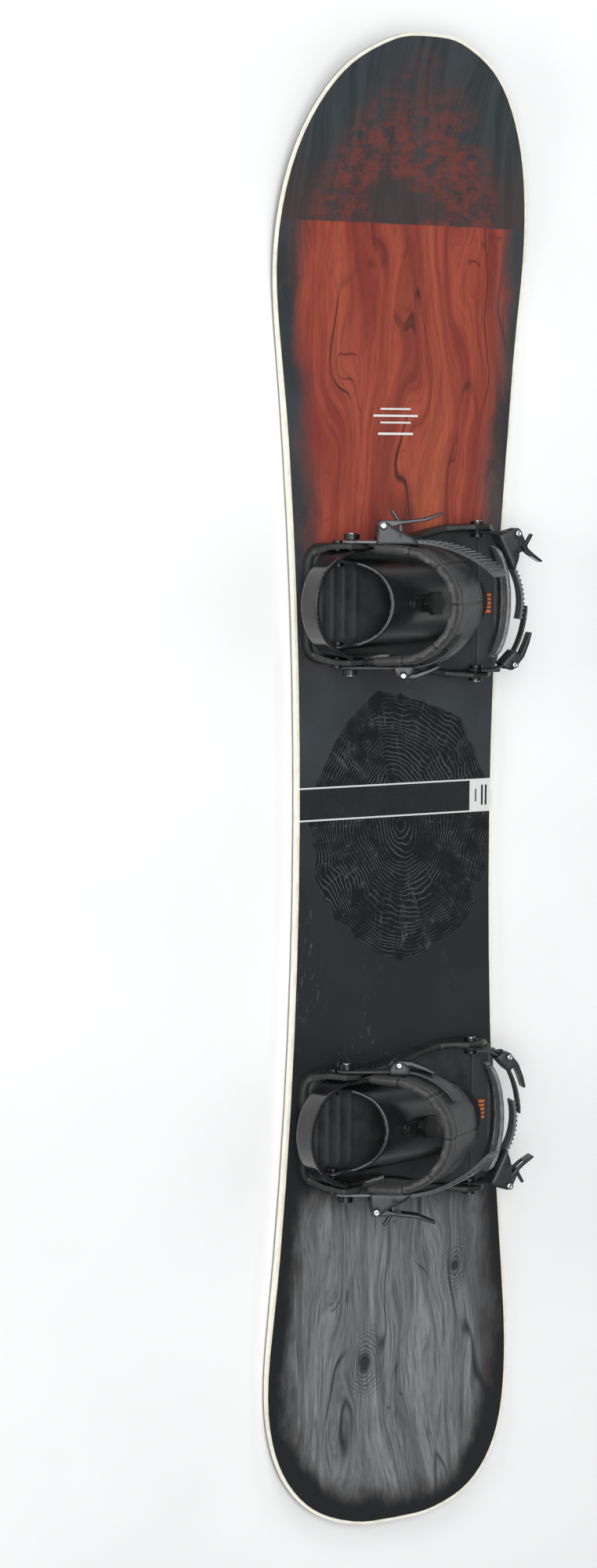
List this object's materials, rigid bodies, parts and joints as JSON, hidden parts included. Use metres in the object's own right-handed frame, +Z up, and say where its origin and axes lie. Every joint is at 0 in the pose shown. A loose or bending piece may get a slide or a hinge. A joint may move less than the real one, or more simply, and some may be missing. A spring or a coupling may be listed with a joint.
{
  "type": "snowboard",
  "caption": "Solid snowboard with strap bindings, highbacks folded flat under the closed straps; highbacks, straps, buckles and levers move.",
  "frame": {"origin": "on the flat base, at the middle of the board's length and width", "axes": "+X along the board towards the nose, +Y towards the heel edge, +Z up from the base through the deck"},
  "size_m": [1.55, 0.3182, 0.1348],
  "materials": {
    "base": "waxed",
    "edge_steel": "ground",
    "sidewall": "satin",
    "core_wood": "raw",
    "topsheet": "satin print",
    "screw_steel": "plain",
    "screw_black": "black",
    "base_plastic": "moulded",
    "disc_plastic": "moulded",
    "foam_rubber": "matt",
    "hoop_gloss": "gloss black",
    "highback_shell": "satin",
    "liner": "woven",
    "trim_plastic": "moulded",
    "strap_leather": "grained",
    "strap_plastic": "moulded",
    "ladder_plastic": "moulded",
    "buckle_metal": "satin",
    "lever_metal": "satin",
    "cap_rubber": "matt"
  },
  "bodies": {
    "root": {"base_sheet": "base", "steel_edge": "edge_steel", "sidewalls": "sidewall", "wood_core": "core_wood", "topsheet": "topsheet", "threaded_inserts": "screw_steel", "disc_screws": "screw_steel", "hoop_screws": "screw_black", "highback_pivots": "screw_black", "ankle_anchors": "screw_black", "toe_anchors": "screw_black", "front_baseplate": "base_plastic", "front_mounting_disc": "disc_plastic", "front_footbed": "foam_rubber", "front_toe_ramp": "foam_rubber", "front_heel_hoop": "hoop_gloss", "rear_baseplate": "base_plastic", "rear_mounting_disc": "disc_plastic", "rear_footbed": "foam_rubber", "rear_toe_ramp": "foam_rubber", "rear_heel_hoop": "hoop_gloss"},
    "front_highback_body": {"front_highback": "highback_shell", "front_highback_pad": "liner"},
    "front_lean_adjuster_body": {"front_lean_adjuster": "trim_plastic"},
    "front_ankle_strap": {"front_ankle_pad": "strap_leather", "front_ankle_connector": "strap_plastic", "front_ankle_ladder": "ladder_plastic", "front_ankle_buckle": "buckle_metal", "front_ankle_adjuster": "buckle_metal"},
    "front_ankle_lever": {"front_ankle_buckle_lever": "lever_metal"},
    "front_ankle_release": {"front_ankle_release_lever": "lever_metal"},
    "front_ankle_adjust_lever": {"front_ankle_adjuster_lever": "lever_metal"},
    "front_toe_strap": {"front_toe_cap": "cap_rubber", "front_toe_connector": "strap_plastic", "front_toe_ladder": "ladder_plastic", "front_toe_buckle": "buckle_metal", "front_toe_adjuster": "buckle_metal"},
    "front_toe_lever": {"front_toe_buckle_lever": "lever_metal"},
    "front_toe_release": {"front_toe_release_lever": "lever_metal"},
    "front_toe_adjust_lever": {"front_toe_adjuster_lever": "lever_metal"},
    "rear_highback_body": {"rear_highback": "highback_shell", "rear_highback_pad": "liner"},
    "rear_lean_adjuster_body": {"rear_lean_adjuster": "trim_plastic"},
    "rear_ankle_strap": {"rear_ankle_pad": "strap_leather", "rear_ankle_connector": "strap_plastic", "rear_ankle_ladder": "ladder_plastic", "rear_ankle_buckle": "buckle_metal", "rear_ankle_adjuster": "buckle_metal"},
    "rear_ankle_lever": {"rear_ankle_buckle_lever": "lever_metal"},
    "rear_ankle_release": {"rear_ankle_release_lever": "lever_metal"},
    "rear_ankle_adjust_lever": {"rear_ankle_adjuster_lever": "lever_metal"},
    "rear_toe_strap": {"rear_toe_cap": "cap_rubber", "rear_toe_connector": "strap_plastic", "rear_toe_ladder": "ladder_plastic", "rear_toe_buckle": "buckle_metal", "rear_toe_adjuster": "buckle_metal"},
    "rear_toe_lever": {"rear_toe_buckle_lever": "lever_metal"},
    "rear_toe_release": {"rear_toe_release_lever": "lever_metal"},
    "rear_toe_adjust_lever": {"rear_toe_adjuster_lever": "lever_metal"}
  },
  "joints": [
    {"name": "front_highback_raise", "type": "hinge", "parent": "root", "child": "front_highback_body", "pos_m": [0.197, 0.096, 0.0365], "axis": [-1, 0, 0], "range_deg": [0, 84]},
    {"name": "front_lean_slide", "type": "slide", "parent": "front_highback_body", "child": "front_lean_adjuster_body", "axis": [0, -0.9903, -0.1392], "range_m": [-0.008, 0.008]},
    {"name": "front_ankle_strap_swing", "type": "hinge", "parent": "root", "child": "front_ankle_strap", "pos_m": [0.197, 0.09, 0.0515], "axis": [-1, 0, 0], "range_deg": [0, 77.28]},
    {"name": "front_toe_strap_swing", "type": "hinge", "parent": "root", "child": "front_toe_strap", "pos_m": [0.197, -0.08, 0.0375], "axis": [-1, 0, 0], "range_deg": [-8, 35]},
    {"name": "front_ankle_lever_open", "type": "hinge", "parent": "front_ankle_strap", "child": "front_ankle_lever", "pos_m": [0.2775, 0.06315, 0.067], "axis": [0, 0.5, 0.866], "range_deg": [0, 95]},
    {"name": "front_ankle_release_press", "type": "hinge", "parent": "front_ankle_strap", "child": "front_ankle_release", "pos_m": [0.2675, 0.0467, 0.0765], "axis": [0, 0.5, 0.866], "range_deg": [0, 12], "stiffness_Nm_per_rad": 0.08},
    {"name": "front_ankle_adjuster_open", "type": "hinge", "parent": "front_ankle_strap", "child": "front_ankle_adjust_lever", "pos_m": [0.1255, 0.0441, 0.078], "axis": [0, -0.5, -0.866], "range_deg": [0, 90]},
    {"name": "front_toe_lever_open", "type": "hinge", "parent": "front_toe_strap", "child": "front_toe_lever", "pos_m": [0.26832, -0.10826, 0.06375], "axis": [0, 0.342, 0.9397], "range_deg": [0, 95]},
    {"name": "front_toe_release_press", "type": "hinge", "parent": "front_toe_strap", "child": "front_toe_release", "pos_m": [0.24687, -0.10729, 0.0634], "axis": [0, 0.342, 0.9397], "range_deg": [0, 12], "stiffness_Nm_per_rad": 0.08},
    {"name": "front_toe_adjuster_open", "type": "hinge", "parent": "front_toe_strap", "child": "front_toe_adjust_lever", "pos_m": [0.13165, -0.10723, 0.06337], "axis": [0, -0.342, -0.9397], "range_deg": [0, 90]},
    {"name": "rear_highback_raise", "type": "hinge", "parent": "root", "child": "rear_highback_body", "pos_m": [-0.346, 0.096, 0.0365], "axis": [-1, 0, 0], "range_deg": [0, 84]},
    {"name": "rear_lean_slide", "type": "slide", "parent": "rear_highback_body", "child": "rear_lean_adjuster_body", "axis": [0, -0.9903, -0.1392], "range_m": [-0.008, 0.008]},
    {"name": "rear_ankle_strap_swing", "type": "hinge", "parent": "root", "child": "rear_ankle_strap", "pos_m": [-0.346, 0.09, 0.0515], "axis": [-1, 0, 0], "range_deg": [0, 77.28]},
    {"name": "rear_toe_strap_swing", "type": "hinge", "parent": "root", "child": "rear_toe_strap", "pos_m": [-0.346, -0.08, 0.0375], "axis": [-1, 0, 0], "range_deg": [-8, 35]},
    {"name": "rear_ankle_lever_open", "type": "hinge", "parent": "rear_ankle_strap", "child": "rear_ankle_lever", "pos_m": [-0.4265, 0.06315, 0.067], "axis": [0, -0.5, -0.866], "range_deg": [0, 95]},
    {"name": "rear_ankle_release_press", "type": "hinge", "parent": "rear_ankle_strap", "child": "rear_ankle_release", "pos_m": [-0.4165, 0.0467, 0.0765], "axis": [0, -0.5, -0.866], "range_deg": [0, 12], "stiffness_Nm_per_rad": 0.08},
    {"name": "rear_ankle_adjuster_open", "type": "hinge", "parent": "rear_ankle_strap", "child": "rear_ankle_adjust_lever", "pos_m": [-0.2745, 0.0441, 0.078], "axis": [0, 0.5, 0.866], "range_deg": [0, 90]},
    {"name": "rear_toe_lever_open", "type": "hinge", "parent": "rear_toe_strap", "child": "rear_toe_lever", "pos_m": [-0.41732, -0.10826, 0.06375], "axis": [0, -0.342, -0.9397], "range_deg": [0, 95]},
    {"name": "rear_toe_release_press", "type": "hinge", "parent": "rear_toe_strap", "child": "rear_toe_release", "pos_m": [-0.39587, -0.10729, 0.0634], "axis": [0, -0.342, -0.9397], "range_deg": [0, 12], "stiffness_Nm_per_rad": 0.08},
    {"name": "rear_toe_adjuster_open", "type": "hinge", "parent": "rear_toe_strap", "child": "rear_toe_adjust_lever", "pos_m": [-0.28065, -0.10723, 0.06337], "axis": [0, 0.342, 0.9397], "range_deg": [0, 90]}
  ],
  "couplings": [
    {"joint": "front_ankle_strap_swing", "follows": "front_highback_raise", "ratio": 0.92},
    {"joint": "rear_ankle_strap_swing", "follows": "rear_highback_raise", "ratio": 0.92}
  ]
}
